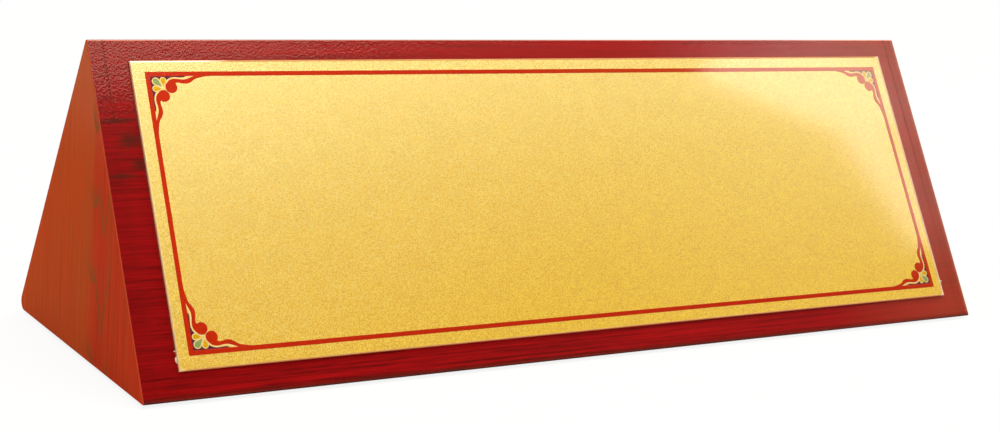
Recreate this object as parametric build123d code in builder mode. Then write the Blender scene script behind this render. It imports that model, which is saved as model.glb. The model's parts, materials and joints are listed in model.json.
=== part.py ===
from build123d import *

import os
from math import acos, cos, sin, tan

# A desk name plate: a hollow wooden case of triangular section with a thin metal plate taped to its
# sloping front. Millimetres. +X runs along the case, -Y is the front and +Z is up. The origin is on
# the desk, under the middle of the ridge.

# Case: three long boards mitred into a triangular tube, closed by a rebated board at each end
body_length = 300.0
face_height = 103.0
base_depth = 103.0
board_thickness = 6.0
end_lip = 4.5
plug_depth = 4.5
plug_lead = 0.6
glue_gap = 0.1

# Edges: sanded soft by hand, most of all along the rear of the underside
ridge_radius = 0.5
front_edge_radius = 0.5
rear_edge_radius = 2.8
end_edge_radius = 0.4
seam_arris = 0.2

# Glue blocks: three-sided strips that back the mitres inside the case
block_leg = 14.0
block_tip = 2.0
block_end_gap = 1.0

# Plate: a sheared sheet, set a little off centre, with its margins measured along the front face
plate_left_margin = 11.1
plate_right_margin = 9.9
plate_bottom_margin = 8.0
plate_top_margin = 7.2
plate_thickness = 0.8
plate_edge_radius = 0.4

# Tape: double-sided strips behind the plate, of which the lowest shows at both ends
tape_thickness = 0.2
tape_width = 5.0
tape_margin = 2.0
tape_overhang = 0.5
tape_setback = 5.0

# Pads: felt discs under the case
pad_thickness = 1.0
pad_diameter = 12.0
pad_bevel = 0.2
pad_end_inset = 22.0
pad_edge_inset = 18.0

# Section of the case, worked out from the sizes above
half_depth = base_depth / 2
lean = acos(half_depth / face_height)
case_height = face_height * sin(lean)
base_level = pad_thickness
tube_length = body_length - 2 * end_lip
seam = tube_length / 2
block_length = tube_length - 2 * (plug_depth + block_end_gap)

# Outer faces, with the normal pointing out of the case
front_face = Plane(origin=(0, -half_depth, base_level), x_dir=(1, 0, 0), z_dir=(0, -sin(lean), cos(lean)))
back_face = Plane(origin=(0, half_depth, base_level), x_dir=(-1, 0, 0), z_dir=(0, sin(lean), cos(lean)))
base_face = Plane(origin=(0, 0, base_level), x_dir=(1, 0, 0), z_dir=(0, 0, -1))

# Mitres, each halving the angle between two faces, with the normal pointing away from the base board
front_mitre = Plane(front_face.origin, x_dir=(1, 0, 0), z_dir=(0, -sin(lean / 2), cos(lean / 2)))
back_mitre = Plane(back_face.origin, x_dir=(-1, 0, 0), z_dir=(0, sin(lean / 2), cos(lean / 2)))
ridge_mitre = Plane.XZ


def inset_corners(inset):
    """Front, rear and ridge corners of the section, as (y, z), once its three faces move in by inset."""
    floor = base_level + inset
    ridge = base_level + case_height - inset / cos(lean)
    half_floor = (ridge - floor) / tan(lean)
    return (-half_floor, floor), (half_floor, floor), (0, ridge)


def case_outline(at):
    """The outline of the case where X is at, with its three corners rounded."""
    with BuildSketch(Plane.YZ.offset(at)) as outline:
        with BuildLine():
            Polyline(*inset_corners(0), close=True)
        make_face()
        fillet(outline.vertices().sort_by(Axis.Y)[-1], ridge_radius)
        fillet(outline.vertices().sort_by(Axis.X)[0], front_edge_radius)
        fillet(outline.vertices().sort_by(Axis.X)[-1], rear_edge_radius)
    return outline.sketch


def tube_bar():
    """A solid bar of the tube's length, with the arris taken off round both ends."""
    with BuildPart() as bar:
        extrude(case_outline(-seam), amount=tube_length)
        chamfer(bar.faces().filter_by(Axis.X).edges(), seam_arris)
    return bar.part


os.makedirs("parts", exist_ok=True)

# Long boards: each is what three planes leave of the bar
with BuildPart() as front_board:
    add(tube_bar())
    split(bisect_by=ridge_mitre, keep=Keep.TOP)
    split(bisect_by=front_mitre, keep=Keep.TOP)
    split(bisect_by=front_face.offset(-board_thickness), keep=Keep.TOP)
front_board.part.label = "front_board"
export_step(front_board.part, "parts/front_board.step")

with BuildPart() as back_board:
    add(tube_bar())
    split(bisect_by=ridge_mitre, keep=Keep.BOTTOM)
    split(bisect_by=back_mitre, keep=Keep.TOP)
    split(bisect_by=back_face.offset(-board_thickness), keep=Keep.TOP)
back_board.part.label = "back_board"
export_step(back_board.part, "parts/back_board.step")

with BuildPart() as base_board:
    add(tube_bar())
    split(bisect_by=front_mitre, keep=Keep.BOTTOM)
    split(bisect_by=back_mitre, keep=Keep.BOTTOM)
    split(bisect_by=base_face.offset(-board_thickness), keep=Keep.TOP)
base_board.part.label = "base_board"
export_step(base_board.part, "parts/base_board.step")

# End boards: a lip with the outline of the case, and a plug that enters the tube
with BuildPart() as right_end_board:
    extrude(case_outline(seam), amount=end_lip)
    fillet(right_end_board.faces().sort_by(Axis.X)[-1].edges(), end_edge_radius)
    chamfer(right_end_board.faces().sort_by(Axis.X)[0].edges(), seam_arris)
    with BuildSketch(Plane.YZ.offset(seam - plug_depth)):
        with BuildLine():
            Polyline(*inset_corners(board_thickness + glue_gap), close=True)
        make_face()
    extrude(amount=plug_depth)
    chamfer(right_end_board.faces().sort_by(Axis.X)[0].edges(), plug_lead)
right_end_board.part.label = "right_end_board"
export_step(right_end_board.part, "parts/right_end_board.step")

with BuildPart() as left_end_board:
    mirror(right_end_board.part, about=Plane.YZ)
left_end_board.part.label = "left_end_board"
export_step(left_end_board.part, "parts/left_end_board.step")

# Glue blocks: each lies in a corner of the hollow, against two boards, with its tip cut off
front_hollow, rear_hollow, ridge_hollow = inset_corners(board_thickness)
backwards = Vector(1, 0)
up_front = Vector(cos(lean), sin(lean))
up_back = Vector(-cos(lean), sin(lean))
block_seats = {
    "front_glue_block": (front_hollow, backwards, up_front),
    "rear_glue_block": (rear_hollow, -backwards, up_back),
    "ridge_glue_block": (ridge_hollow, -up_front, -up_back),
}
for name, (corner, one_board, other_board) in block_seats.items():
    with BuildPart() as glue_block:
        with BuildSketch(Plane.YZ.offset(-block_length / 2)):
            with BuildLine():
                Polyline(
                    Vector(*corner) + one_board * block_tip,
                    Vector(*corner) + one_board * block_leg,
                    Vector(*corner) + other_board * block_leg,
                    Vector(*corner) + other_board * block_tip,
                    close=True,
                )
            make_face()
        extrude(amount=block_length)
    glue_block.part.label = name
    export_step(glue_block.part, f"parts/{name}.step")

# Plate: lies on the tape, with the shears' roll-over round its face
plate_length = body_length - plate_left_margin - plate_right_margin
plate_height = face_height - plate_bottom_margin - plate_top_margin
plate_middle = (plate_left_margin - plate_right_margin) / 2
plate_rise = plate_bottom_margin + plate_height / 2
with BuildPart() as name_plate:
    with BuildSketch(front_face.offset(tape_thickness)):
        with Locations((plate_middle, plate_rise)):
            Rectangle(plate_length, plate_height)
    extrude(amount=plate_thickness)
    plate_front = name_plate.faces().sort_by(Axis(front_face.origin, front_face.z_dir))[-1]
    fillet(plate_front.edges(), plate_edge_radius)
name_plate.part.label = "name_plate"
export_step(name_plate.part, "parts/name_plate.step")

# Tape: a strip near the plate's lower edge, one near its upper edge and one between them
strip_reach = (plate_height - tape_width) / 2 - tape_margin
short_strip = plate_length - 2 * tape_setback
tape_strips = {
    "lower_tape": (plate_rise - strip_reach, plate_length + 2 * tape_overhang),
    "middle_tape": (plate_rise, short_strip),
    "upper_tape": (plate_rise + strip_reach, short_strip),
}
for name, (rise, length) in tape_strips.items():
    with BuildPart() as tape:
        with BuildSketch(front_face):
            with Locations((plate_middle, rise)):
                Rectangle(length, tape_width)
        extrude(amount=tape_thickness)
    tape.part.label = name
    export_step(tape.part, f"parts/{name}.step")

# Pads: one near each corner of the underside
pad_reach = body_length / 2 - pad_end_inset
pad_spread = half_depth - pad_edge_inset
for end_name, end in (("left", -1), ("right", 1)):
    for edge_name, edge in (("front", -1), ("rear", 1)):
        name = f"{edge_name}_{end_name}_pad"
        with BuildPart() as pad:
            with BuildSketch():
                with Locations((end * pad_reach, edge * pad_spread)):
                    Circle(pad_diameter / 2)
            extrude(amount=pad_thickness)
            chamfer(pad.edges().group_by(Axis.Z)[0], pad_bevel)
        pad.part.label = name
        export_step(pad.part, f"parts/{name}.step")
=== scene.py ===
# %% [markdown]
# # A desk name plate
# The object is a hollow wooden prism, as long as a ruler, that stands on a desk with one
# broad face towards the visitor. It is veneered and lacquered red, and a gold sheet with
# a printed border is taped to the front. The CAD model gives every solid its true size,
# so this lesson only dresses it: it adds the print, the torn tape and the felt, gives
# each piece its finish, and sets up a camera and a soft studio light.

# %% Load the frame
import json

import bmesh
import bpy
import numpy as np
from mathutils import Matrix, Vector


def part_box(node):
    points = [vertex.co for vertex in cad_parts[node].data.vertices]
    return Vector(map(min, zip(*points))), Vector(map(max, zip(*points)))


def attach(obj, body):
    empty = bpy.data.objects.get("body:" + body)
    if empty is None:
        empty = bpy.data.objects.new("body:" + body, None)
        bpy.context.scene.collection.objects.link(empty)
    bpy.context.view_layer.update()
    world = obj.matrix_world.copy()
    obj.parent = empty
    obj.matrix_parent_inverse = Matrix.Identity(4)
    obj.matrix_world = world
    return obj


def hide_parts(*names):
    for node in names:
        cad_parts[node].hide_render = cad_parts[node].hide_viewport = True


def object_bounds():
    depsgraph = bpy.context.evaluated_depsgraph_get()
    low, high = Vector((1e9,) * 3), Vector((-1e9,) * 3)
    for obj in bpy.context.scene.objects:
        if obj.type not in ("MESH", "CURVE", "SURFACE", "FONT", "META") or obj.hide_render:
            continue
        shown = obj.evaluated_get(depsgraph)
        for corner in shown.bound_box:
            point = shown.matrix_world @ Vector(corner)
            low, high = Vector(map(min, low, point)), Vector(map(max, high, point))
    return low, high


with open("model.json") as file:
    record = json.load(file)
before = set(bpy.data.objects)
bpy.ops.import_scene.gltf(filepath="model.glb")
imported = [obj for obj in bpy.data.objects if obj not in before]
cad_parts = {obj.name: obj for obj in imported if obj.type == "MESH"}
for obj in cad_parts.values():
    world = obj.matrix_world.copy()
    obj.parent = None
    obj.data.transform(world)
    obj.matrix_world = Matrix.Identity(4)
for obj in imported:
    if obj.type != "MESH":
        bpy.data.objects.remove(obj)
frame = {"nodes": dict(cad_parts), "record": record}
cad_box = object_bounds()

mm = 0.001
print("CAD box in mm:", [[round(v / mm, 1) for v in corner] for corner in cad_box])

# %% [markdown]
# ## Where the gold sheet lies
# The print has to lie exactly on the sheet, which leans back with the front of the prism.
# The places could be typed in by hand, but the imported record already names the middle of
# the sheet's face and the way it looks. Three directions follow from it: along the plate,
# up its slope and out of its face. Everything printed is then drawn flat, in millimetres.

# %% The sheet's own directions
name_face = next(m for m in frame["record"]["mounts"] if m["name"] == "name_face")
face_middle = np.array(name_face["pos_m"], float)
face_out = np.array(name_face["axis"], float)
face_out /= np.linalg.norm(face_out)
face_along = np.array([1.0, 0.0, 0.0])
face_up = np.cross(face_out, face_along)
face_axes = np.stack([face_along, face_up, face_out])


def node_points(node):
    """The corner points of a CAD node, one row each, in metres."""
    mesh = frame["nodes"][node].data
    flat = np.empty(len(mesh.vertices) * 3)
    mesh.vertices.foreach_get("co", flat)
    return flat.reshape(-1, 3)


def in_face_terms(points):
    """Points as (along, up, out) from the middle of the sheet's face, in mm."""
    return (points - face_middle) @ face_axes.T / mm


def on_face(along, up, out):
    """Face terms in mm as points in metres: the middle plus each length along its direction."""
    terms = np.stack(np.broadcast_arrays(along, up, out), axis=-1) * mm
    return face_middle + terms @ face_axes


sheet_terms = in_face_terms(node_points("name_plate"))
sheet_low = sheet_terms.min(axis=0)
sheet_high = sheet_terms.max(axis=0)
print("gold sheet, low and high in face terms, mm:", sheet_low.round(2), sheet_high.round(2))

# %% [markdown]
# ## From arrays to a mesh
# Each new piece is a grid of points: rows run one way over the surface and columns the
# other. Adding primitives and pushing their vertices about would also work, but a grid
# says the shape as a formula and takes one line to change. A grid can wrap round in
# either direction, and rows that close to a point are merged, so that nothing is open.

# %% A grid of points becomes a piece
merge_distance = 1e-7
sliver_distance = 1e-8


def grid_faces(rows, columns, wrap_rows, wrap_columns, first):
    """The quads of a grid: each point joined with the next one in its row and in its column."""
    index = first + np.arange(rows * columns).reshape(rows, columns)
    index = np.pad(index, ((0, int(wrap_rows)), (0, int(wrap_columns))), mode="wrap")
    quads = [index[:-1, :-1], index[1:, :-1], index[1:, 1:], index[:-1, 1:]]
    return np.stack(quads, axis=-1).reshape(-1, 4)


def piece_from_grids(name, grids, wrap_rows=False, wrap_columns=True, smooth=False):
    """Joins grids of points into one closed piece at the origin, with merged poles and outward faces."""
    points = []
    faces = []
    count = 0
    for grid in grids:
        rows, columns = grid.shape[:2]
        points.append(grid.reshape(-1, 3))
        faces.append(grid_faces(rows, columns, wrap_rows, wrap_columns, count))
        count += rows * columns
    mesh = bpy.data.meshes.new(name)
    mesh.from_pydata(np.concatenate(points), [], np.concatenate(faces))
    shape = bmesh.new()
    shape.from_mesh(mesh)
    bmesh.ops.remove_doubles(shape, verts=shape.verts, dist=merge_distance)
    bmesh.ops.dissolve_degenerate(shape, edges=shape.edges, dist=sliver_distance)
    bmesh.ops.recalc_face_normals(shape, faces=shape.faces)
    open_edges = sum(not edge.is_manifold for edge in shape.edges)
    shape.to_mesh(mesh)
    shape.free()
    mesh.polygons.foreach_set("use_smooth", [smooth] * len(mesh.polygons))
    piece = bpy.data.objects.new(name, mesh)
    bpy.context.scene.collection.objects.link(piece)
    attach(piece, "root")
    print(name, "has", len(mesh.polygons), "faces and", open_edges, "open edges")
    return piece


print("a grid of 3 by 4 points has", len(grid_faces(3, 4, False, False, 0)), "faces")

# %% [markdown]
# ## Colours and nodes
# A material is a small network of nodes. Colours are written as the hex values that a
# paint program shows, and Blender computes in linear light, so one function converts
# them. A second function adds a node, sets its options and joins its inputs, which keeps
# each material short enough to read from top to bottom. Many inputs are fades. A fade is
# written as four numbers, the Map Range node's own inputs in their order: where it
# starts, where it ends, and the level at its start and at its end.

# %% One function for colour, one for nodes
def linear(hex_colour):
    """An sRGB hex colour as linear red, green, blue and alpha: v/12.92 for the darkest values v, up to
    0.04045, and ((v+0.055)/1.055)^2.4 above."""
    value = np.array([int(hex_colour[i:i + 2], 16) for i in (1, 3, 5)]) / 255
    low = value / 12.92
    high = ((value + 0.055) / 1.055) ** 2.4
    return (*np.where(value <= 0.04045, low, high).tolist(), 1.0)


def add_node(tree, kind, inputs=(), stops=(), **options):
    """Adds one shader node with its options and returns it. Inputs come in the order of the node's
    sockets, or by name, and each is a number, a hex colour, or a node or socket to link from. A ramp's
    stops are places with a hex colour or a grey level."""
    node = tree.nodes.new("ShaderNode" + kind)
    for option, value in options.items():
        setattr(node, option, value)
    for key, value in inputs.items() if isinstance(inputs, dict) else enumerate(inputs):
        named = [s for s in node.inputs if s.enabled and s.name == key]
        socket = node.inputs[key] if isinstance(key, int) else named[0]
        if isinstance(value, bpy.types.Node):
            value = next(s for s in value.outputs if s.enabled)
        if isinstance(value, bpy.types.NodeSocket):
            tree.links.new(value, socket)
        else:
            socket.default_value = linear(value) if isinstance(value, str) else value
    if stops:
        elements = node.color_ramp.elements
        for place, _ in stops[1:-1]:
            elements.new(place)
        for element, (place, tone) in zip(elements, stops):
            element.position = place
            element.color = linear(tone) if isinstance(tone, str) else (tone, tone, tone, 1.0)
    return node


def new_material(name):
    """A new node material and its tree, which is still empty."""
    material = bpy.data.materials.new(name)
    material.use_nodes = True
    material.node_tree.nodes.clear()
    return material, material.node_tree


print("middle grey in linear light:", linear("#808080"))

# %% [markdown]
# ## The camera
# The camera stands where the photograph was taken from: to the left of the object, about
# sixty centimetres away, looking down ten degrees. It could be turned by eye with a
# Track To constraint, but the photograph's own lines give the numbers. The lens and the
# small shift follow from an image that is 1000 by 432 pixels.

# %% Place the camera
camera_place = np.array([-0.3240, -0.4827, 0.1530])
camera_azimuth = np.radians(-32.190)
camera_elevation = np.radians(10.051)
camera_roll = np.radians(4.010)
image_size = np.array([1000.0, 432.0])
focal_pixels = 1846.4
centre_pixel = np.array([480.4, 159.4])
sensor_width = 36.0

back = np.array([
    np.sin(camera_azimuth) * np.cos(camera_elevation),
    -np.cos(camera_azimuth) * np.cos(camera_elevation),
    np.sin(camera_elevation),
])
level_right = np.cross([0.0, 0.0, 1.0], back)
level_right /= np.linalg.norm(level_right)
level_up = np.cross(back, level_right)
right = np.cos(camera_roll) * level_right + np.sin(camera_roll) * level_up
up = -np.sin(camera_roll) * level_right + np.cos(camera_roll) * level_up

camera_data = bpy.data.cameras.new("camera")
camera_data.sensor_fit = "HORIZONTAL"
camera_data.sensor_width = sensor_width
camera_data.lens = sensor_width * focal_pixels / image_size[0]
camera_data.shift_x = (image_size[0] / 2 - centre_pixel[0]) / image_size[0]
camera_data.shift_y = (centre_pixel[1] - image_size[1] / 2) / image_size[0]
camera_data.clip_start = 0.01
camera = bpy.data.objects.new("camera", camera_data)
pose = np.eye(4)
pose[:3] = np.stack([right, up, back, camera_place], axis=1)
camera.matrix_world = Matrix(pose.tolist())
bpy.context.scene.collection.objects.link(camera)
bpy.context.scene.camera = camera
print("lens", round(camera_data.lens, 2), "mm, shift", camera_data.shift_x, camera_data.shift_y)

# %% [markdown]
# ## Light
# Lacquer shows what it reflects, so the lamps are placed by reflection: a panel hangs
# where a ray from the camera goes after it bounces off the face. A broad panel hangs
# overhead, turned a little, and its front edge shows as the pale glare at the top left
# of the wood. Two small panels further right give the slanted veil over the right of
# the sheet. Point lamps would give hard sparks instead.

# %% Three soft panels
panel_height = 1.40
panel_radiance = 3.3
# Each panel's middle in x and y, its length and width in metres, its turn in degrees, its colour.
panels = {
    "overhead_panel": ((0.5295, -0.0877), (3.3, 1.8), 15.5, "#fff3d8"),
    "upper_veil": ((1.656, -1.084), (0.492, 0.145), -19.0, "#fff8ee"),
    "side_veil": ((1.9578, -1.3132), (0.47, 0.075), -39.1, "#fff8ee"),
}
for name, (middle, size, turn, colour) in panels.items():
    lamp = bpy.data.lights.new(name, "AREA")
    lamp.shape = "RECTANGLE"
    lamp.size, lamp.size_y = size
    # A flat panel's watts are its radiance times pi times its area.
    lamp.energy = panel_radiance * np.pi * size[0] * size[1]
    lamp.color = linear(colour)[:3]
    panel = bpy.data.objects.new(name, lamp)
    panel.location = (*middle, panel_height)
    panel.rotation_euler = (0.0, 0.0, np.radians(turn))
    panel.visible_camera = False
    bpy.context.scene.collection.objects.link(panel)
    print(name, "gives", round(lamp.energy, 1), "W")

# %% [markdown]
# The walls of the studio are warm white near the floor and dim above. An even white
# world would be simpler, but the face leans back and mirrors what is above it: where it
# meets no panel it now mirrors the dim part, and the deep red stays deep.

# %% The studio walls
wall_level = 1.0
ceiling_level = 0.02
wall_top = 0.20
ceiling_start = 0.40

world = bpy.data.worlds.new("studio")
bpy.context.scene.world = world
world.use_nodes = True
tree = world.node_tree
tree.nodes.clear()
direction = add_node(tree, "TexCoord")
height = add_node(tree, "SeparateXYZ", [direction.outputs["Generated"]])
level = add_node(tree, "MapRange", [
    height.outputs["Z"], wall_top, ceiling_start, wall_level, ceiling_level,
], interpolation_type="SMOOTHSTEP")
glow = add_node(tree, "Background", {"Color": "#fff8e0", "Strength": level})
add_node(tree, "OutputWorld", {"Surface": glow})
bpy.context.scene.view_settings.view_transform = "Standard"
print("studio walls", wall_level, "and ceiling", ceiling_level)

# %% [markdown]
# ## The floor
# The floor is a plain pale table top, large enough to fill the picture. Part of its
# brightness is given to it directly, for rays from the camera and for reflections, so
# that it looks white to its far edge; the rest is lit, so the object's shadow stays.

# %% A pale floor
floor_half = 6.0
# Places in mm outside the object's foot, each with the share of the floor's own brightness.
glow_stops = [(-6.0, 0.0), (-4.6, 0.08), (-3.4, 0.84), (0.0, 0.90), (10.0, 0.93), (60.0, 0.98)]
glow_start = glow_stops[0][0]
glow_end = glow_stops[-1][0]

floor_corners = np.array([[-1, -1, 0], [1, -1, 0], [1, 1, 0], [-1, 1, 0]], float) * floor_half
floor_mesh = bpy.data.meshes.new("floor")
floor_mesh.from_pydata(floor_corners, [], [(0, 1, 2, 3)])
floor = bpy.data.objects.new("floor", floor_mesh)
bpy.context.scene.collection.objects.link(floor)


def in_mm(tree, coords):
    """The x, y and z of the point that is being coloured, in mm."""
    place = add_node(tree, "VectorMath", {0: coords.outputs["Object"], "Scale": 1 / mm}, operation="SCALE")
    return add_node(tree, "SeparateXYZ", [place]).outputs


# Matt white laminate: an even, bright ground with a soft shadow.
material, tree = new_material("matt_white_table")
coords = add_node(tree, "TexCoord")
foot_half = (np.array(cad_box[1]) - np.array(cad_box[0])) / 2 / mm
gaps = []
for place, half in zip(in_mm(tree, coords)[:2], foot_half):
    aside = add_node(tree, "Math", [place], operation="ABSOLUTE")
    gaps.append(add_node(tree, "Math", [aside, half], operation="SUBTRACT"))
away = add_node(tree, "Math", gaps, operation="MAXIMUM")
away = add_node(tree, "MapRange", [away, glow_start, glow_end])
share = add_node(tree, "ValToRGB", [away], [
    ((place - glow_start) / (glow_end - glow_start), level) for place, level in glow_stops
])
ray = add_node(tree, "LightPath").outputs
seen = add_node(tree, "Math", [ray["Is Camera Ray"], ray["Is Glossy Ray"]], operation="MAXIMUM")
seen = add_node(tree, "Math", [seen, ray["Is Transmission Ray"]], operation="MAXIMUM")
share = add_node(tree, "Math", [seen, share], operation="MULTIPLY")
lit = add_node(tree, "BsdfDiffuse", {"Color": "#f4f3f1"})
glowing = add_node(tree, "Emission", {"Color": "#ffffff", "Strength": 1.0})
table = add_node(tree, "MixShader", [share, lit, glowing])
add_node(tree, "OutputMaterial", {"Surface": table})
floor_mesh.materials.append(material)
print("floor is", 2 * floor_half, "m wide")

# %% [markdown]
# ## Red lacquered veneer
# The long boards are veneered with a straight-grained hardwood, stained red. The grain
# shows as fine dark lines along the length, about one every millimetre, and it is calmer
# to the right and near the ridge. A Wave texture would rule the lines like paper, so
# stretched noise is used: many cells across the grain, very long ones along it.

# %% Grain of the red veneer
line_cell = (50.0, 0.80, 0.80)
fleck_cell = (9.0, 0.40, 0.40)
band_cell = (160.0, 9.0, 9.0)
fleck_share = 0.4
calm_right = (0.0, 120.0, 0.0, 0.55)
calm_ridge = (74.0, 80.0, 0.0, 0.50)
calm_grain = 0.5
red_tones = [(0.36, "#540206"), (0.46, "#780308"), (0.54, "#86040b"), (0.64, "#96060f")]
band_tones = [(0.30, "#e4dedc"), (0.70, "#ffffff")]


def grain_noise(tree, coords, cell, **look):
    """Noise whose cells measure the given mm along x, y and z: the place divided by the cell's size."""
    stretched = add_node(tree, "Mapping", {
        "Vector": coords.outputs["Object"], "Scale": tuple(1 / (size * mm) for size in cell),
    })
    return add_node(tree, "TexNoise", {"Vector": stretched, "Scale": 1.0, **look})


def red_grain(tree, coords):
    """The stained grain's colour: long lines with short flecks between them, drawn towards one middle
    tone where the grain is calm, and times broad bands. The flecks are returned as well."""
    lines = grain_noise(tree, coords, line_cell, Detail=2.0, Distortion=0.2)
    flecks = grain_noise(tree, coords, fleck_cell, Detail=2.0, Distortion=0.3)
    grain = add_node(tree, "Mix", {"Factor": fleck_share, "A": lines, "B": flecks}, data_type="FLOAT")
    x, _, z = in_mm(tree, coords)
    along = add_node(tree, "MapRange", [x, *calm_right])
    above = add_node(tree, "MapRange", [z, *calm_ridge])
    calm = add_node(tree, "Math", [along, above], operation="MAXIMUM")
    grain = add_node(tree, "Mix", {"Factor": calm, "A": grain, "B": calm_grain}, data_type="FLOAT")
    colour = add_node(tree, "ValToRGB", [grain], red_tones)
    bands = grain_noise(tree, coords, band_cell, Detail=2.0)
    shade = add_node(tree, "ValToRGB", [bands], band_tones)
    colour = add_node(tree, "Mix", {"Factor": 1.0, "A": colour, "B": shade},
                      data_type="RGBA", blend_type="MULTIPLY")
    return colour, flecks


print("grain lines every", line_cell[1], "mm")

# %% [markdown]
# Left of the sheet the wood has a few smoky marks, and specks of dust were caught in
# the lacquer everywhere. Marks could be painted on an image, but an image has one fixed
# sharpness. Here a mark is an egg-shaped region, and the flecks make its rim ragged.

# %% Smoky marks and dust
# Each mark's middle and half sizes along x, y and z, in mm.
marks = [
    ((-142.0, -15.0, 64.2), (4.8, 3.2, 3.2)),
    ((-140.4, -18.5, 58.2), (3.0, 1.9, 1.9)),
    ((-144.5, -12.1, 69.2), (8.0, 1.1, 1.1)),
    ((-145.9, -20.1, 55.4), (7.0, 1.2, 1.2)),
]
mark_rag = 1.2
mark_fade = (0.7, 1.7, 0.95, 0.0)
dust_spacing = 15.0
dust_fade = (0.008, 0.02, 0.4, 0.0)


def lay_over(tree, colour, layers):
    """A colour with further tones laid over it in turn, each by its own share from 0 to 1."""
    for share, tone in layers:
        colour = add_node(tree, "Mix", {"Factor": share, "A": colour, "B": tone}, data_type="RGBA")
    return colour


def marked_red(tree, coords):
    """The grain with its marks and dust. A mark's share falls with the distance from its middle, counted
    in its half sizes, plus some of the flecks. A speck's falls with the distance from a scattered point."""
    colour, flecks = red_grain(tree, coords)
    layers = []
    for middle, size in marks:
        centred = add_node(tree, "Mapping", {
            "Vector": coords.outputs["Object"],
            "Location": tuple(np.array(middle) * mm), "Scale": tuple(np.array(size) * mm),
        }, vector_type="TEXTURE")
        reach = add_node(tree, "VectorMath", [centred], operation="LENGTH").outputs["Value"]
        ragged = add_node(tree, "Math", [flecks, mark_rag, reach], operation="MULTIPLY_ADD")
        mark = add_node(tree, "MapRange", [ragged, *mark_fade], interpolation_type="SMOOTHSTEP")
        layers.append((mark, "#28160e"))
    dust = add_node(tree, "TexVoronoi", {
        "Vector": coords.outputs["Object"], "Scale": 1 / (dust_spacing * mm),
    })
    speck = add_node(tree, "MapRange", [dust.outputs["Distance"], *dust_fade])
    return lay_over(tree, colour, [*layers, (speck, "#d8a090")])


print(len(marks), "marks, and dust about every", dust_spacing, "mm")

# %% [markdown]
# The colour is not even. It is darker at the left end and lighter away from it, which is
# painted light, and it is a shade darker on the strips past the seams. At the right end of
# the front it has faded to brown, and its rounded edge has a pale painted highlight. The ridge
# has a painted highlight too, strongest towards its two ends. A vertex colour layer could hold
# all this, but the CAD meshes stay as they are, so it follows from the point's place and
# from the way the surface looks there.

# %% Stain, painted light and painted highlights
half_length = cad_box[1][0] / mm
seam_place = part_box("front_board")[1][0] / mm
# Painted light: the colour's level along x, darker at the left end and lighter away from it.
painted_light_along = (-seam_place, -60.0, 0.91, 1.16)
strip_shade = 0.93
# The brown fade at the right end of the front, and in the last 1.4 mm a painted highlight on the rounded
# edge.
fade_and_highlight_stops = [(90.0, 0.0), (140.0, 0.14), (148.6, 0.14), (150.0, 0.60)]
ridge_turn = [(0.52, 0.0), (0.60, 1.0), (0.88, 1.0), (0.97, 0.0)]
# Painted highlight on the ridge: where it is laid on along x, and how strongly.
ridge_highlight_reach = (95.0, 135.0, 0.30, 0.85)


def lacquered_red(tree, coords):
    """The marked veneer times a painted light level along the board and the strips' shade, with the faded
    end and a painted highlight on its rounded edge laid over it where y is negative, and a painted
    highlight on the ridge where the surface looks up between two slopes."""
    x, y, _ = in_mm(tree, coords)
    end = add_node(tree, "Math", [x], operation="ABSOLUTE")
    past = add_node(tree, "Math", [end, seam_place], operation="GREATER_THAN")
    painted_light = add_node(tree, "MapRange", [x, *painted_light_along])
    strip = add_node(tree, "MapRange", [past, 0.0, 1.0, 1.0, strip_shade])
    colour = marked_red(tree, coords)
    for level in (painted_light, strip):
        colour = add_node(tree, "VectorMath", {0: colour, "Scale": level}, operation="SCALE")
    rightward = add_node(tree, "Math", [x, half_length], operation="DIVIDE")
    faded_and_highlight = add_node(tree, "ValToRGB", [rightward], [
        (spot / half_length, level) for spot, level in fade_and_highlight_stops
    ])
    in_front = add_node(tree, "Math", [y, 0.0], operation="LESS_THAN")
    faded_and_highlight = add_node(tree, "Math", [faded_and_highlight, in_front], operation="MULTIPLY")
    facing = add_node(tree, "SeparateXYZ", [coords.outputs["Normal"]])
    ridge = add_node(tree, "ValToRGB", [facing.outputs["Z"]], ridge_turn)
    ridge_highlight_share = add_node(tree, "MapRange", [end, *ridge_highlight_reach])
    ridge_highlight = add_node(tree, "Math", [ridge, ridge_highlight_share], operation="MULTIPLY")
    # Laid over: the brown fade with its painted edge highlight, then the painted ridge highlight.
    return lay_over(tree, colour, [(faded_and_highlight, "#ae7c58"), (ridge_highlight, "#c88a80")])


print("seams at", round(seam_place, 2), "mm to each side")

# %% [markdown]
# ### Gloss lacquer
# The lacquer is sprayed on and rubbed to a gloss. It is dull in the seams, where neither
# the gun nor the cloth reached. Along the lower edge and underneath the finish is a dull dark
# brown, which is painted shade. One roughness map could say that, but the coat is kept to a
# plain number, so a glossy and a dull finish are mixed by the share that is worked out here.

# %% Where the lacquer is dull, and the painted shade
seam_half_width = 0.36
seam_left = (62.0, 80.0, 0.10, 0.38)
seam_right = (10.0, 80.0, 0.14, 0.36)
# Painted shade: a dull dark brown where the surface looks down, and along the lower edge.
underside_shade_turn = (0.30, -0.10, 0.0, 1.0)
lower_edge_shade = (2.8, 1.3, 0.0, 0.75)


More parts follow.
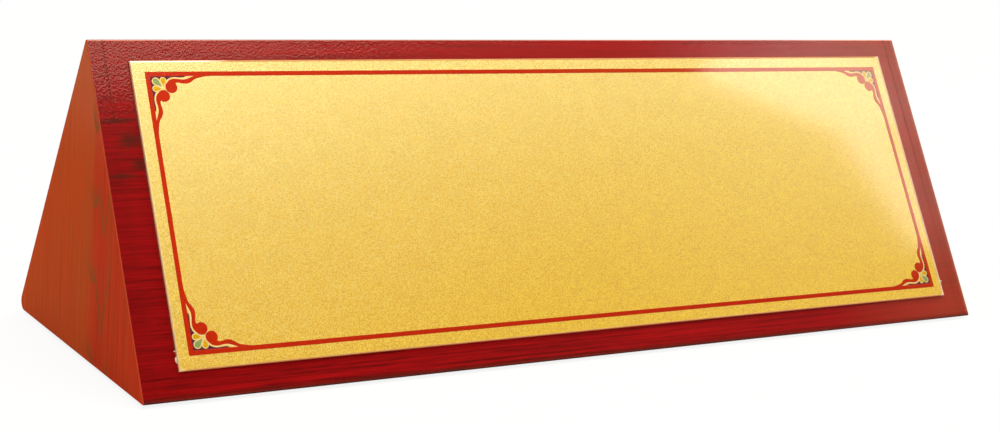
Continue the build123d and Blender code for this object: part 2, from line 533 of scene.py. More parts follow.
def dull_and_shade_share(tree, coords):
    """The share of the dull finish, the largest of three: dull lacquer in each seam by its height, and
    painted shade along the lower edge and where the surface looks down."""
    x, _, z = in_mm(tree, coords)
    off = add_node(tree, "Math", [x], operation="ABSOLUTE")
    off = add_node(tree, "Math", [off, seam_place], operation="SUBTRACT")
    off = add_node(tree, "Math", [off], operation="ABSOLUTE")
    left, right = (add_node(tree, "MapRange", [z, *fade]) for fade in (seam_left, seam_right))
    right_half = add_node(tree, "Math", [x, 0.0], operation="GREATER_THAN")
    sunk = add_node(tree, "Mix", {"Factor": right_half, "A": left, "B": right}, data_type="FLOAT")
    seam = add_node(tree, "MapRange", [off, seam_half_width / 2, seam_half_width, sunk, 0.0])
    facing = add_node(tree, "SeparateXYZ", [coords.outputs["Normal"]])
    below = add_node(tree, "MapRange", [facing.outputs["Z"], *underside_shade_turn])
    low = add_node(tree, "MapRange", [z, *lower_edge_shade])
    lower_shade = add_node(tree, "Math", [below, low], operation="MAXIMUM")
    return add_node(tree, "Math", [lower_shade, seam], operation="MAXIMUM")


print("dull lacquer below", lower_edge_shade[0], "mm and", seam_half_width, "mm beside the seams")

# %% [markdown]
# A spray gun leaves a faint ripple, which is called orange peel. It shows in the glare:
# heavier towards the ridge, and most of all along the ridge at the left end. It could be
# modelled, but it is only hundredths of a millimetre deep, so a bump on the clear coat
# is enough. Under the coat the stained fibres have a red sheen of their own.

# %% Gloss lacquer over the red
peel_size = 0.60
peel_depth = 0.034
peel_rise = (64.0, 86.0, 0.65, 1.0)
peel_ridge = (74.0, 82.0, 0.70, 1.6)
peel_left = (-75.0, -110.0)
# Tones of the dull finish: dull lacquer in the seams, painted shade along the lower edge and underneath.
dull_and_shade_tones = [(0.30, "#2c0e06"), (0.70, "#4c1a0c")]


def gloss_lacquer(tree, coords):
    """The sprayed finish: red veneer under a clear coat with orange peel, mixed with a brown, dull one
    that is dull lacquer in the seams and painted shade along the lower edge and underneath.
    The peel's strength is its rise with the height, times a factor for the left end."""
    noise = grain_noise(tree, coords, (peel_size,) * 3, Detail=1.5)
    x, _, z = in_mm(tree, coords)
    strength = add_node(tree, "MapRange", [z, *peel_rise])
    heavier = add_node(tree, "MapRange", [z, *peel_ridge])
    heavier = add_node(tree, "MapRange", [x, *peel_left, 1.0, heavier])
    strength = add_node(tree, "Math", [strength, heavier], operation="MULTIPLY")
    peel = add_node(tree, "Bump", {"Height": noise, "Distance": peel_depth * mm, "Strength": strength})
    gloss = add_node(tree, "BsdfPrincipled", {
        "Base Color": lacquered_red(tree, coords), "Roughness": 0.42,
        "Specular IOR Level": 0.78, "Specular Tint": "#ff1a14",
        "Coat Weight": 1.0, "Coat Roughness": 0.09, "Coat IOR": 1.48, "Coat Normal": peel,
    })
    # The dull dark brown: dull lacquer in the seams, painted shade along the lower edge and underneath.
    matt = add_node(tree, "BsdfPrincipled", {
        "Base Color": add_node(tree, "ValToRGB", [noise], dull_and_shade_tones),
        "Roughness": 0.8, "Specular IOR Level": 0.1,
    })
    return add_node(tree, "MixShader", [dull_and_shade_share(tree, coords), gloss, matt])


# Hardwood veneer, stained and spray lacquered: a deep red with fine lines under clear glare.
red_veneer, tree = new_material("red_veneer_gloss_lacquer")
shader = gloss_lacquer(tree, add_node(tree, "TexCoord"))
add_node(tree, "OutputMaterial", {"Surface": shader})
print("orange peel ripples of", peel_size, "mm")

# %% [markdown]
# ## Lacquer in the seams
# The end boards meet the long boards in a fine groove, because both edges were eased.
# The spray filled it almost level, so on the real piece the joint is a thin dull line,
# clear at the top left and faint elsewhere. A boolean union would lose the joint
# altogether. Here a shallow bead of lacquer is carried round the end board's own
# outline: level with the wood at its sides and dished in the middle.

# %% A bead round each end
seam_arris = 0.2
on_lip_within = 0.01
bead_half = 0.195
bead_clear = 0.003
bead_dish = 0.004
bead_depth = 0.19
bead_steps = 9

end_points = node_points("left_end_board") / mm
on_lip = np.isclose(end_points[:, 0], -(seam_place + seam_arris), atol=on_lip_within)
outline = np.unique(end_points[on_lip, 1:].round(4), axis=0)
inside = (outline.min(axis=0) + outline.max(axis=0)) / 2
outline = outline[np.argsort(np.arctan2(*(outline - inside).T[::-1]))]
heading = np.roll(outline, -1, axis=0) - np.roll(outline, 1, axis=0)
heading /= np.linalg.norm(heading, axis=1, keepdims=True)
outward = np.stack([heading[:, 1], -heading[:, 0]], axis=1)
across = np.linspace(-bead_half, bead_half, bead_steps)
below = bead_clear + bead_dish * (1 - (across / bead_half) ** 2)
across = np.append(across, 0.0)
below = np.append(below, bead_depth)


def seam_bead(side):
    """The bead's closed profile carried round the end: across the joint by a step, and below the face by
    the clearance plus a parabola, with one point deep in the groove that closes it."""
    spot = outline[:, None, :] - below[None, :, None] * outward[:, None, :]
    along = np.broadcast_to(side * seam_place + across, spot.shape[:2])
    return np.concatenate([along[..., None], spot], axis=2) * mm


seam_lacquer = piece_from_grids("seam_lacquer", [seam_bead(-1), seam_bead(1)], wrap_rows=True)
seam_lacquer.data.materials.append(red_veneer)
print("bead round an outline of", len(outline), "points")

# %% [markdown]
# ## Orange-brown end veneer
# The triangular ends have a veneer of their own, with upright grain, browner and duller
# than the front. It turns redder towards the front and paler towards the top, and some
# streaks are olive. Three pictures could be blended for this, but one stretched noise
# already gives lines that run upright, and a second, broader one lets the tones wander.

# %% Grain of the ends
end_line_cell = (1.0, 0.8, 45.0)
streak_cell = (1.0, 5.0, 70.0)
brown_tones = [(0.30, "#a03b11"), (0.50, "#b04214"), (0.70, "#b94917")]
redder_tones = [(0.30, "#9a2a0d"), (0.50, "#af3212"), (0.70, "#b83a14")]
front_wander = 14.0
front_fade = (-8.0, 2.0, 1.0, 0.0)
olive_fade = (0.52, 0.72, 0.0, 0.35)
top_fade = (50.0, 88.0, 0.0, 0.5)


def end_grain(tree, coords):
    """The end veneer's colour: upright lines in brown, and in red in front of a wandering limit, with
    olive streaks and a paler top laid over. The streaks are returned as well."""
    lines = grain_noise(tree, coords, end_line_cell, Detail=3.0, Roughness=0.6, Distortion=0.2)
    streaks = grain_noise(tree, coords, streak_cell, Detail=2.0)
    brown, redder = (add_node(tree, "ValToRGB", [lines], tones) for tones in (brown_tones, redder_tones))
    _, y, z = in_mm(tree, coords)
    limit = add_node(tree, "Math", [streaks, front_wander, y], operation="MULTIPLY_ADD")
    front = add_node(tree, "MapRange", [limit, *front_fade], interpolation_type="SMOOTHSTEP")
    olive = add_node(tree, "MapRange", [streaks, *olive_fade])
    top = add_node(tree, "MapRange", [z, *top_fade], interpolation_type="SMOOTHSTEP")
    return lay_over(tree, brown, [(front, redder), (olive, "#8a4d24"), (top, "#b8684c")]), streaks


print("end grain lines every", end_line_cell[1], "mm")

# %% [markdown]
# In the front third the growth rings cut the surface in nested points, which cabinet
# makers call cathedrals. Two points stand side by side and make a W that repeats up the
# board. A Wave texture only makes even bands or rings. So a height is worked out that
# rises away from an upright axis, by one slope to the rear and by another to the front,
# and a ring is drawn wherever that height has gone up by one period.

# %% Cathedral points
figure_period = 27.0
figure_tip = 10.0
figure_sway = 4.0
# The place of each point's axis, and its slopes to the rear and to the front.
first_point = (-19.0, 2.5, 3.1)
second_point = (-10.8, 1.5, 1.0)
second_rise = 19.2
second_drop = -0.27
figure_middle = -16.5
figure_fade = (6.5, 10.0, 0.80, 0.0)
ring_tones = [(0.0, 0.0), (0.05, 1.0), (0.14, 0.45), (0.32, 0.0)]


def cathedral_rings(tree, coords, streaks):
    """The share of the dark rings. Each point's arms are the larger of two slopes away from its axis. The
    second point's are raised, and drop as z grows. The lower arms, swayed by the streaks, are taken from
    z, and the remainder by the period is the place in a ring. The share fades to both sides."""
    _, y, z = in_mm(tree, coords)
    arms = []
    for axis, rear_slope, front_slope in (first_point, second_point):
        away = add_node(tree, "Math", [y, axis], operation="SUBTRACT")
        rear = add_node(tree, "Math", [away, rear_slope], operation="MULTIPLY")
        front = add_node(tree, "Math", [away, -front_slope], operation="MULTIPLY")
        arms.append(add_node(tree, "Math", [rear, front], operation="MAXIMUM"))
    raised = add_node(tree, "Math", [arms[1], second_rise], operation="ADD")
    raised = add_node(tree, "Math", [z, second_drop, raised], operation="MULTIPLY_ADD")
    lower = add_node(tree, "Math", [arms[0], raised], operation="MINIMUM")
    swayed = add_node(tree, "Math", [streaks, figure_sway, lower], operation="MULTIPLY_ADD")
    above = add_node(tree, "Math", [z, swayed], operation="SUBTRACT")
    above = add_node(tree, "Math", [above, figure_sway / 2 - figure_tip], operation="ADD")
    ring = add_node(tree, "Math", [above, figure_period], operation="FLOORED_MODULO")
    ring = add_node(tree, "Math", [ring, figure_period], operation="DIVIDE")
    ring = add_node(tree, "ValToRGB", [ring], ring_tones)
    aside = add_node(tree, "Math", [y, figure_middle], operation="SUBTRACT")
    aside = add_node(tree, "Math", [aside], operation="ABSOLUTE")
    near = add_node(tree, "MapRange", [aside, *figure_fade], interpolation_type="SMOOTHSTEP")
    return add_node(tree, "Math", [ring, near], operation="MULTIPLY")


print("cathedral points every", figure_period, "mm up the ends")

# %% [markdown]
# The end boards carry two finishes. Their broad ends have the dull brown veneer, with a painted
# highlight in pinkish red along the rounded rim, while their narrow sloping edges carry on the front's red
# gloss.
# Two material slots could part them, but a CAD mesh is never cut up, so the finish
# changes with the way a face looks.

# %% End boards
# Where the rim's painted highlight lies, by how far the surface looks sideways.
rim_turn = [(0.25, 0.0), (0.45, 1.0), (0.80, 1.0), (0.95, 0.0)]
end_turn = (0.10, 0.35)
end_depth = 1.0

# Hardwood veneer, stained, under thin satin lacquer: an open, dry grain with hardly any glare.
end_finish, tree = new_material("end_veneer_satin_lacquer")
coords = add_node(tree, "TexCoord")
facing = add_node(tree, "SeparateXYZ", [coords.outputs["Normal"]])
sideways = add_node(tree, "Math", [facing.outputs["X"]], operation="ABSOLUTE")
outmost = add_node(tree, "Math", [in_mm(tree, coords)["X"]], operation="ABSOLUTE")
outmost = add_node(tree, "Math", [outmost, half_length - end_depth], operation="GREATER_THAN")
# Painted highlight: a pinkish red along the rounded rim of each end.
rim_highlight = add_node(tree, "ValToRGB", [sideways], rim_turn)
rim_highlight = add_node(tree, "Math", [rim_highlight, outmost], operation="MULTIPLY")
colour, streaks = end_grain(tree, coords)
rings = cathedral_rings(tree, coords, streaks)
satin = add_node(tree, "BsdfPrincipled", {
    "Base Color": lay_over(tree, colour, [(rings, "#6d4a1e"), (rim_highlight, "#a84432")]),
    "Roughness": 0.55, "Specular IOR Level": 0.01,
})
is_end = add_node(tree, "MapRange", [sideways, *end_turn])
is_end = add_node(tree, "Math", [is_end, outmost], operation="MULTIPLY")
both = add_node(tree, "MixShader", [is_end, gloss_lacquer(tree, coords), satin])
add_node(tree, "OutputMaterial", {"Surface": both})
print("end veneer on the outer", end_depth, "mm")

# %% [markdown]
# ## Gold sheet
# The sheet is thin aluminium with a sand-grained gold face under clear gloss. The grain
# sparkles a little and takes the hardness off reflections. Towards the lower right the gold
# has painted shade, deeper and less blue. A metal shader would mirror the dim studio and look
# black in places, so a bright colour with a strong specular layer stands for the fine metal. The
# field inside the border stays plain gold, for whoever uses the part.

# %% Sand-grained gold
# Real sand grain is finer than this. It is drawn just coarse enough to show in the render.
grit_size = 0.40
grit_depth = 0.036
mottle_size = 5.0
gold_tones = [(0.36, "#e0b000"), (0.50, "#fbc90c"), (0.64, "#ffde68")]
mottle_tones = [(0.30, "#fbf9f5"), (0.70, "#ffffff")]
corner_lean = (0.5, 0.87)
low_right = corner_lean[0] * face_along - corner_lean[1] * face_up
# Painted shade: the gold is darker and less blue towards the lower right.
painted_shade_fade = (-20.0, 20.0)
painted_shade_tone = (0.975, 0.960, 0.10, 1.0)
gold_glint = (0.75, 1.0, 0.85, 1.0)


def face_places(tree, coords, axes):
    """How far the point lies from the middle of the sheet's face along each axis, in mm."""
    from_middle = add_node(tree, "VectorMath", [
        coords.outputs["Object"], tuple(face_middle),
    ], operation="SUBTRACT")
    dots = [
        add_node(tree, "VectorMath", [from_middle, tuple(axis / mm)], operation="DOT_PRODUCT")
        for axis in axes
    ]
    return [dot.outputs["Value"] for dot in dots]


# Aluminium sheet, sand blasted and gold lacquered: a warm glow with a fine sparkle under gloss.
gold_face, tree = new_material("gold_sand_grain_sheet")
coords = add_node(tree, "TexCoord")
along, up_slope, to_corner = face_places(tree, coords, (face_along, face_up, low_right))
grit = grain_noise(tree, coords, (grit_size,) * 3, Detail=1.0, Roughness=0.6)
mottle = grain_noise(tree, coords, (mottle_size,) * 3, Detail=2.0)
gold = add_node(tree, "ValToRGB", [grit], gold_tones)
cloud = add_node(tree, "ValToRGB", [mottle], mottle_tones)
painted_shade = add_node(tree, "MapRange", [to_corner, *painted_shade_fade])
for share, tone in ((1.0, cloud), (painted_shade, painted_shade_tone)):
    gold = add_node(tree, "Mix", {"Factor": share, "A": gold, "B": tone},
                    data_type="RGBA", blend_type="MULTIPLY")
sparkle = add_node(tree, "Bump", {"Height": grit, "Distance": grit_depth * mm, "Strength": 1.0})
grained = add_node(tree, "BsdfPrincipled", {
    "Base Color": gold, "Roughness": 0.27, "IOR": 3.8, "Specular Tint": gold_glint,
    "Normal": sparkle, "Coat Weight": 1.0, "Coat Roughness": 0.07, "Coat IOR": 1.68,
})
print("sand grain of", grit_size, "mm")

# %% [markdown]
# The sheet was sheared after the gold was laid on, so its edge shows the bare metal, tan,
# with painted highlights on it: a bright rim at the top left, cream at the left end and pale
# at the right end. It could be a piece of its own, but the CAD solid already has the rounded
# edge, so the same material turns to bare metal where the surface looks away from the front.

# %% The sheet's bare edge, with painted highlights
edge_turn = (0.93, 0.998, 1.0, 0.0)
bare_top = 0.58
bare_right = 0.95
bare_left = 0.12
bare_soft = 0.06
top_band = 1.2
# Places in mm from the left end of the sheet, or from its right end where they are negative.
# Bare metal is tan; the cream at the left end, the white at the top left and the pale tone at the right end
# are painted highlights.
edge_and_highlight_tones = [(0.8, "#ffe0b5"), (1.4, "#dc9c60"), (-1.4, "#dc9c60"), (-0.8, "#fbe2d2")]
top_and_highlight_tones = [(20.0, "#fff0dc"), (30.0, "#b4804c"), (-1.4, "#b4804c"), (-0.8, "#fbe2d2")]

squarely = add_node(tree, "VectorMath", [
    coords.outputs["Normal"], tuple(face_out),
], operation="DOT_PRODUCT").outputs["Value"]
rim = add_node(tree, "MapRange", [squarely, *edge_turn])
for place, limit, soft in (
    (up_slope, sheet_high[1] - bare_top, bare_soft),
    (along, sheet_high[0] - bare_right, bare_soft),
    (along, sheet_low[0] + bare_left, -bare_soft),
):
    past = add_node(tree, "MapRange", [place, limit - soft, limit + soft])
    rim = add_node(tree, "Math", [rim, past], operation="MAXIMUM")
sheet_length = sheet_high[0] - sheet_low[0]
from_left = add_node(tree, "MapRange", [along, sheet_low[0], sheet_high[0]])
edge_and_highlight_colour, top_and_highlight_colour = (
    add_node(tree, "ValToRGB", [from_left], [(spot / sheet_length % 1, tone) for spot, tone in tones])
    for tones in (edge_and_highlight_tones, top_and_highlight_tones)
)
at_top = add_node(tree, "Math", [up_slope, sheet_high[1] - top_band], operation="GREATER_THAN")
bare = add_node(tree, "BsdfPrincipled", {
    "Base Color": lay_over(tree, edge_and_highlight_colour, [(at_top, top_and_highlight_colour)]), "Metallic": 0.6, "Roughness": 0.40,
})
sheet = add_node(tree, "MixShader", [rim, grained, bare])
add_node(tree, "OutputMaterial", {"Surface": sheet})
print("bare edge on a sheet", round(float(sheet_length), 1), "mm long")

# %% [markdown]
# ## The printed border
# A red line runs round the sheet, a few millimetres in from its edge. Screen-printed ink
# stands a few hundredths of a millimetre proud. The line could be painted in the sheet's
# material, but as a piece of its own it keeps a true edge and can be recoloured or taken
# off. It is a flat film with rounded rims, carried round a rectangle with mitred corners.
# The real print lies a little askew, so each corner has its own inset from the sheet's.

# %% Ink films and the border line
corner_inset = {
    (-1, 1): (3.78, 3.37), (1, 1): (3.99, 4.08),
    (-1, -1): (3.27, 3.85), (1, -1): (3.84, 3.17),
}
line_width = 1.36
line_height = 0.06
corner_rows = 0.8
rim_turns = np.radians([0.0, 30.0, 60.0, 90.0])
least_gap = 1e-9

sheet_middle = (sheet_low + sheet_high)[:2] / 2
sheet_half = (sheet_high - sheet_low)[:2] / 2
print_corner = {
    corner: sheet_middle + np.array(corner) * (sheet_half - gap) for corner, gap in corner_inset.items()
}
print_half = sheet_half - np.mean(list(corner_inset.values()), axis=0)


def on_print(flat, height):
    """Flat print points, in mm from the print's middle, laid on the sheet: a point is the mean of the
    print's four corners, weighted by its nearness to each."""
    across, rise = np.moveaxis(flat / print_half, -1, 0)
    spot = sum(
        ((1 + side * across) * (1 + level * rise) / 4)[..., None] * place
        for (side, level), place in print_corner.items()
    )
    return on_face(spot[..., 0], spot[..., 1], height)


def film(edge_a, edge_b, height):
    """A thin closed film of ink between two edge curves: a quarter round rises from each edge to the flat
    top, in by height*(1-cos) and up by height*sin, and the underside joins the edges again. Where the
    edges come together the film narrows and closes to a point."""
    gap = np.linalg.norm(edge_b - edge_a, axis=1)
    full = np.clip(gap / (2 * height), 0.0, 1.0)[:, None]
    inward = height * (1 - np.cos(rim_turns)) * full / np.maximum(gap, least_gap)[:, None]
    share = np.concatenate([inward, 1 - inward[:, ::-1]], axis=1)[..., None]
    rise = height * np.sin(rim_turns)
    lift = full * np.concatenate([rise, rise[::-1]])
    return on_print(edge_a[:, None, :] * (1 - share) + edge_b[:, None, :] * share, lift)


def rectangle_path(inside):
    """Points round a rectangle that lies inside the print's outer edge, with extra rows at the corners."""
    signs = np.array([[-1, -1], [1, -1], [1, 1], [-1, 1]], float)
    corner_points = signs * (print_half - inside)
    forward = np.roll(corner_points, -1, axis=0) - corner_points
    forward /= np.linalg.norm(forward, axis=1, keepdims=True)
    before = np.roll(forward, 1, axis=0)
    steps = [corner_points - before * corner_rows, corner_points, corner_points + forward * corner_rows]
    return np.stack(steps, axis=1).reshape(-1, 2)


border_grid = film(rectangle_path(0.0), rectangle_path(line_width), line_height)
border_line = piece_from_grids("border_line", [border_grid], wrap_rows=True)
print("border is", (2 * print_half).round(1), "mm")

# %% [markdown]
# ## Corner scrolls
# In each corner of the border sits a traditional cloud scroll: two red ribbons that
# swell out of the line, run towards the corner and end in a ball, with a small three
# petalled bud between them on a purple ground. Each shape is a film between two edge
# curves. An edge is an arc where the ball is round, and elsewhere a smooth curve through
# a few points. One corner is drawn, in millimetres from the line's outer corner, and
# the other three and the second ribbon are its mirror images.

# %% Curves for the scrolls
curve_points = 40
corners = [(side, level) for side in (-1, 1) for level in (-1, 1)]


def arc(centre, radius, start, end, count):
    """Points on a circle from one angle to another, in degrees."""
    angle = np.radians(np.linspace(start, end, count))
    return np.asarray(centre) + radius * np.stack([np.cos(angle), np.sin(angle)], axis=-1)


def smooth_curve(points, count):
    """A curve through the points: between two of them it is the cubic whose slope at each point is
    half the step between that point's neighbours (Catmull-Rom)."""
    given = np.asarray(points, float)
    padded = np.concatenate([2 * given[:1] - given[1:2], given, 2 * given[-1:] - given[-2:-1]])
    place = np.linspace(0, len(given) - 1, count)
    i = np.minimum(place.astype(int), len(given) - 2)
    t = (place - i)[:, None]
    a, b, c, d = (padded[i + step] for step in range(4))
    square = 2 * a - 5 * b + 4 * c - d
    cube = 3 * b - a - 3 * c + d
    return 0.5 * (2 * b + (c - a) * t + square * t ** 2 + cube * t ** 3)


def evenly(curve, count):
    """The same curve with its points spaced evenly along its length."""
    run = np.concatenate([[0.0], np.cumsum(np.linalg.norm(np.diff(curve, axis=0), axis=1))])
    place = np.linspace(0.0, run[-1], count)
    return np.stack([np.interp(place, run, curve[:, axis]) for axis in (0, 1)], axis=-1)


def offset(curve, distance):
    """The curve moved sideways by a distance, at right angles to the way it runs."""
    step = np.gradient(curve, axis=0)
    step /= np.linalg.norm(step, axis=1, keepdims=True)
    aside = np.stack([step[:, 1], -step[:, 0]], axis=-1)
    return curve + aside * np.asarray(distance).reshape(-1, 1)


def in_corner(curve, side, level, mirrored):
    """Corner terms (along the line, inwards) to print terms, for the corner on one side and level."""
    pair = curve[:, ::-1] if mirrored else curve
    return (print_half - pair) * np.array([side, level])


def in_every_corner(edge_a, edge_b, height, both_ways):
    """The same film in all four corners, and mirrored across each corner's diagonal where asked."""
    return [
        film(in_corner(edge_a, *corner, mirrored), in_corner(edge_b, *corner, mirrored), height)
        for corner in corners for mirrored in ((False, True) if both_ways else (False,))
    ]


print("scrolls in", len(corners), "corners")

# %% [markdown]
# A ribbon starts at the ball's far side. Its two edges run round the ball to either
# side, leave it at different angles, which gives the notch under the ball, and meet in
# the tail, where the ribbon comes out of the line. A bevelled curve has one width all
# along, or needs a taper to be drawn beside it, and two edges say the width directly.

# %% The red ribbons
ball_middle = (7.17, 4.60)
ball_radius = 1.76
pole_angle = 60.0
leave_angle = 235.0
notch_angle = -38.0
tail_end = (19.2, 1.20)
scroll_height = 0.055

ball_outer = arc(ball_middle, ball_radius, pole_angle, leave_angle, curve_points)
ribbon_outer = smooth_curve([
    ball_outer[-1], (6.65, 2.66), (7.25, 2.32), (8.1, 2.12), (9.0, 2.13), (10.0, 2.28), (11.0, 2.36),
    (12.0, 2.22), (13.0, 1.84), (14.0, 1.45), (15.2, 1.20), (17.0, 1.15), tail_end,
], 4 * curve_points)
ball_inner = arc(ball_middle, ball_radius, pole_angle, notch_angle, curve_points)
ribbon_inner = smooth_curve([
    ball_inner[-1], (9.2, 3.28), (10.2, 3.40), (11.2, 3.60), (12.2, 3.55), (13.2, 3.12), (14.2, 2.44),
    (15.2, 2.00), (16.6, 1.70), tail_end,
], 4 * curve_points)
scroll_outer, scroll_inner = (
    np.concatenate([evenly(ball, curve_points), evenly(ribbon, 2 * curve_points)[1:]])
    for ball, ribbon in ((ball_outer, ribbon_outer), (ball_inner, ribbon_inner))
)
scroll_grids = in_every_corner(scroll_outer, scroll_inner, scroll_height, True)
red_scrolls = piece_from_grids("red_scrolls", scroll_grids)

# %% [markdown]
# ## Ground, outlines and petals
# Under the ribbons lie the other colours, in the order in which they were printed: the
# purple ground in the corner, then cream outlines that part the colours, then a green
# petal on the diagonal with a yellow one on each side. All could share one film with
# painted colours, but separate films keep crisp edges. The ground fills the corner
# between the line and a curve that is the same on both sides of the diagonal.

# %% The purple ground
ground_reach = 12.0
ground_lap = 0.08
ground_height = 0.02

line_inner = line_width - ground_lap
half_edge = smooth_curve([
    (ground_reach, line_inner), (11.2, 1.72), (10.0, 1.75), (8.6, 1.70),
    (7.2, 1.90), (6.2, 2.4), (5.2, 2.9), (3.9, 3.9),
], curve_points)
ground_inner = np.concatenate([half_edge, half_edge[-2::-1, ::-1]])
half_line = np.linspace((ground_reach, line_inner), (line_inner, line_inner), curve_points)
ground_outer = np.concatenate([half_line, half_line[-2::-1, ::-1]])
ground_grids = in_every_corner(ground_outer, ground_inner, ground_height, False)
purple_ground = piece_from_grids("purple_ground", ground_grids)

# %% [markdown]
# A petal is a round head drawn out to a tip: each edge leaves the tip straight, along the
# line that just touches the head, and then follows the head's circle. A Bezier curve
# could be dragged to that shape, but here three numbers give it, and a wider copy of the
# same petal is its cream outline. The ribbons' outline follows their outer edge.

# %% Cream outlines and the petals
petal_outline = 0.28
ribbon_outline = 0.46
outline_under = 0.40
outline_height = 0.035
outline_run = slice(12, 98)
outline_taper = 8
petal_height = 0.05
petal_points = 24
# Each petal's tip, the middle of its head and the head's radius.
green_petal = ((4.50, 4.50), (2.86, 2.86), 0.88)
yellow_petal = ((4.85, 4.30), (5.02, 2.55), 0.70)


def petal_edges(tip, head, radius, grow=0.0):
    """The two edges of a petal from its tip to the far end of its head: a straight run to where it
    touches the head's circle, at 90 degrees plus the angle asin(radius/length) from the axis, then the
    circle. Grow widens it all round."""
    tip, head = np.asarray(tip, float), np.asarray(head, float)
    length = np.linalg.norm(head - tip) + grow
    axis = (head - tip) / np.linalg.norm(head - tip)
    radius = radius + grow
    touch = 90.0 + np.degrees(np.arcsin(radius / length))
    heading = np.degrees(np.arctan2(axis[1], axis[0]))
    start = (tip - axis * grow)[None]
    edges = []
    for side in (1, -1):
        round_part = arc(head, radius, heading + side * touch, heading, petal_points)
        edges.append(evenly(np.concatenate([start, round_part]), petal_points))
    return edges


outlined = scroll_outer[outline_run]
from_ends = np.minimum(np.arange(len(outlined)), np.arange(len(outlined))[::-1])
taper = np.clip(from_ends / outline_taper, 0, 1)
ribbon_edges = [offset(outlined, width * taper) for width in (ribbon_outline, -outline_under)]
cream_grids = in_every_corner(*ribbon_edges, outline_height, True)
cream_grids += in_every_corner(*petal_edges(*green_petal, petal_outline), outline_height, False)
cream_grids += in_every_corner(*petal_edges(*yellow_petal, petal_outline), outline_height, True)
cream_outlines = piece_from_grids("cream_outlines", cream_grids)
green_grids = in_every_corner(*petal_edges(*green_petal), petal_height, False)
green_petals = piece_from_grids("green_petals", green_grids)
yellow_grids = in_every_corner(*petal_edges(*yellow_petal), petal_height, True)
yellow_petals = piece_from_grids("yellow_petals", yellow_grids)

# %% [markdown]
# ## Printing ink
# Screen ink is opaque and lies under the same clear coat as the gold. Its colour is never
# quite even: the sand grain below shows through a little. The inks have painted shade towards
# the lower right, and towards the upper right some gold is laid over them as a painted reflection.
# Each colour could have nodes of its own, but one function makes all five alike.

# %% Five inks
# Painted shade towards the lower right, and gold laid over towards the upper right as a painted reflection.
ink_painted_shade = (-100.0, 10.0, 1.0, 0.76)
ink_painted_reflection = (20.0, 110.0, 0.0, 0.08)
ink_grain = 0.006
high_right = corner_lean[0] * face_along + corner_lean[1] * face_up


def screen_ink(name, thin, full):
    """An ink whose colour wanders between a thin and a full film, at the size of the sand grain, times
    a painted shade towards the lower right, with gold laid over it towards the upper right as a painted
    reflection."""
    material, tree = new_material(name)
    coords = add_node(tree, "TexCoord")
    grit = grain_noise(tree, coords, (grit_size,) * 3, Detail=2.0)
    colour = add_node(tree, "ValToRGB", [grit], [(0.30, full), (0.70, thin)])
    downwards, upwards = face_places(tree, coords, (low_right, high_right))
    painted_shade = add_node(tree, "MapRange", [downwards, *ink_painted_shade])
    colour = add_node(tree, "VectorMath", {0: colour, "Scale": painted_shade}, operation="SCALE")
    painted_reflection = add_node(tree, "MapRange", [upwards, *ink_painted_reflection])
    grain = add_node(tree, "Bump", {"Height": grit, "Distance": ink_grain * mm, "Strength": 1.0})
    shader = add_node(tree, "BsdfPrincipled", {
        "Base Color": lay_over(tree, colour, [(painted_reflection, "#fbc90c")]),
        "Roughness": 0.45, "Normal": grain, "Specular IOR Level": 0.05,
        "Coat Weight": 1.0, "Coat Roughness": 0.07, "Coat IOR": 1.68,
    })
    add_node(tree, "OutputMaterial", {"Surface": shader})
    return material


# Screen ink under clear coat: flat, opaque colour with a fine mottle and a smooth gloss.
inks = {
    border_line: screen_ink("red_screen_ink", "#c82c04", "#b22300"),
    purple_ground: screen_ink("purple_screen_ink", "#6b2440", "#541a30"),
    cream_outlines: screen_ink("cream_screen_ink", "#f4de9e", "#eace88"),
    green_petals: screen_ink("green_screen_ink", "#94aa72", "#7e9a62"),
    yellow_petals: screen_ink("yellow_screen_ink", "#dfb20a", "#cc9c04"),
}
inks[red_scrolls] = inks[border_line]
for piece, ink in inks.items():
    piece.data.materials.append(ink)
print("inks:", sorted({ink.name for ink in inks.values()}))

# %% [markdown]
# ## Torn tape
# The sheet is held by three strips of double-sided tape. The lowest one was torn off a
# little too long, and ragged bits of it stick out at the sides of the sheet. A boolean
# cut could bite pieces out of the straight CAD strip, but it is simpler to draw the
# strip again: the same section, row by row up its width, with a length that varies.

# %% The lowest strip with torn ends
tear_rows = 81
tear_tuck = 1.2
rag_mean = 0.10
rag_height = 0.05
rag_waves = (11, 27)
bit_steepness = 6
# Each bit's middle up the strip's width, its half width and its extra reach, in mm.
left_bits = [(1.30, 1.05, 0.0), (3.70, 0.22, 0.0)]
right_bits = [(3.05, 0.30, 0.9)]
left_phase = 0.4
right_phase = 1.7

tape_terms = in_face_terms(node_points("lower_tape"))
tape_low = tape_terms.min(axis=0)
tape_high = tape_terms.max(axis=0)


def torn_edge(across, bits, phase):
    """How far the torn edge stays back from the strip's full length, in mm: the whole tuck between the
    bits, and hardly anything, or less than nothing, at each bit, where two sines make it ragged."""
    first, second = rag_waves
    waves = np.sin(first * across + phase) + np.sin(second * across + 2 * phase)
    ragged = rag_mean + rag_height * waves
    return tear_tuck - sum(
        (tear_tuck + more - ragged) * np.exp(-((across - middle) / half) ** bit_steepness)
        for middle, half, more in bits
    )


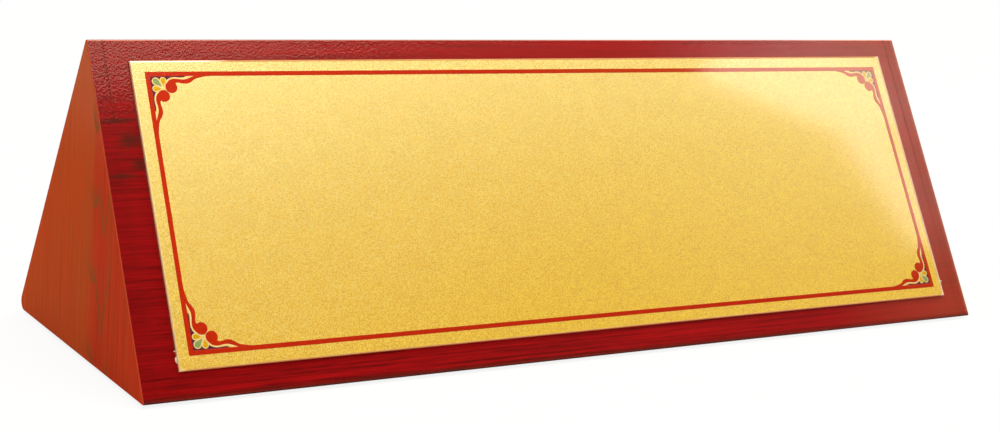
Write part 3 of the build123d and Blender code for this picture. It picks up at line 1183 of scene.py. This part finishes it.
across = np.linspace(0.0, tape_high[1] - tape_low[1], tear_rows)
left_end = tape_low[0] + torn_edge(across, left_bits, left_phase)
right_end = tape_high[0] - torn_edge(across, right_bits, right_phase)
strip_along = np.stack([left_end, left_end, right_end, right_end], axis=1)
strip_out = np.array([tape_low[2], tape_high[2], tape_high[2], tape_low[2]])
strip = on_face(strip_along, (tape_low[1] + across)[:, None], strip_out)
caps = [np.broadcast_to(row.mean(axis=0), (1, 4, 3)) for row in (strip[0], strip[-1])]
torn_tape = piece_from_grids("torn_tape", [np.concatenate([caps[0], strip, caps[1]])])
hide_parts("lower_tape")
print("torn tape is", round(float((right_end - left_end).max()), 2), "mm long at most")

# %% [markdown]
# ## Felt pads
# Four punched felt pads keep the base off the desk. Punching leaves a soft, slightly
# uneven rim, where a turned disc would look like a coin. Each pad is a rounded profile
# carried round a circle, and the radius wavers a little with the angle.

# %% Four soft discs
pad_nodes = ["front_left_pad", "front_right_pad", "rear_left_pad", "rear_right_pad"]
pad_turns = 96
pad_rounding = 0.30
rounding_steps = 5
pad_waver = 0.02
pad_waves = (5, 13, 29)


def felt_pad(node):
    """A disc in the CAD pad's box: the profile runs from the middle of the underside out to a quarter
    round, up, over a second quarter round and back to the middle on top. The radius is the pad's own
    times one less a small waver, the mean of three sines of the angle."""
    low, high = (np.array(corner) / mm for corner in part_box(node))
    middle = (low + high) / 2
    radius = (high - low)[0] / 2
    angle = np.linspace(0.0, 2 * np.pi, pad_turns, endpoint=False)[:, None]
    shifts = (middle[0], middle[1], 0.0)
    sines = sum(np.sin(wave * angle + shift) for wave, shift in zip(pad_waves, shifts))
    waver = 1 - pad_waver * (1 + sines / len(pad_waves)) / 2
    bend = np.radians(np.linspace(0.0, 90.0, rounding_steps))
    reach = radius - pad_rounding * (1 - np.sin(bend))
    lower = low[2] + pad_rounding * (1 - np.cos(bend))
    upper = high[2] - pad_rounding * (1 - np.cos(bend[::-1]))
    out = np.concatenate([[0.0], reach, reach[::-1], [0.0]]) * waver
    rise = np.concatenate([[low[2]], lower, upper, [high[2]]])
    ring = [middle[0] + out * np.cos(angle), middle[1] + out * np.sin(angle), rise + 0 * out]
    return np.stack(ring, axis=-1) * mm


felt_pads = piece_from_grids(
    "felt_pads", [felt_pad(node) for node in pad_nodes], wrap_rows=True, wrap_columns=False, smooth=True)
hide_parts(*pad_nodes)

# %% [markdown]
# ## Plain finishes
# The last finishes are matt: the tissue of the tape, the felt, and the planed pine of
# the strips that stiffen the corners inside. They are hardly seen, but a part that is
# turned over or cut open should still look right, so none of them is one flat colour.

# %% Tape, felt and pine finishes
def two_tone(name, dark, light, cell, roughness, bump_depth, sheen=0.0):
    """A matt finish whose colour wanders between two tones, in cells of the given sizes in mm."""
    material, tree = new_material(name)
    noise = grain_noise(tree, add_node(tree, "TexCoord"), cell, Detail=4.0)
    colour = add_node(tree, "ValToRGB", [noise], [(0.32, dark), (0.68, light)])
    rough = add_node(tree, "Bump", {"Height": noise, "Distance": bump_depth * mm, "Strength": 1.0})
    shader = add_node(tree, "BsdfPrincipled", {
        "Base Color": colour, "Roughness": roughness, "Normal": rough, "Sheen Weight": sheen,
    })
    add_node(tree, "OutputMaterial", {"Surface": shader})
    return material


# The fibres of tape and felt are drawn coarser than real ones, so that they show at this size.
# Tissue tape: off-white and fibrous, with a dull shine of glue.
tape_finish = two_tone("white_tissue_tape", "#b9a893", "#efe6d6", (0.8, 0.8, 0.8), 0.5, 0.02)
# Pressed wool felt: dark and soft, with a little fuzz that catches the light.
felt_finish = two_tone("pressed_wool_felt", "#2a2624", "#4a4441", (0.5, 0.5, 0.5), 0.95, 0.08, 0.4)
# Planed pine: pale straw, with straight lines along the strip.
pine_finish = two_tone("planed_pine", "#c79a5c", "#e6c48f", (60.0, 1.6, 1.6), 0.7, 0.02)

finishes = {
    red_veneer: ["front_board", "back_board", "base_board"],
    end_finish: ["left_end_board", "right_end_board"],
    pine_finish: ["front_glue_block", "rear_glue_block", "ridge_glue_block"],
    gold_face: ["name_plate"],
    tape_finish: ["lower_tape", "middle_tape", "upper_tape"],
    felt_finish: pad_nodes,
}
torn_tape.data.materials.append(tape_finish)
felt_pads.data.materials.append(felt_finish)
for finish, nodes in finishes.items():
    for node in nodes:
        mesh = frame["nodes"][node].data
        mesh.materials.clear()
        mesh.materials.append(finish)
print(sum(map(len, finishes.values())), "CAD nodes have their finish")
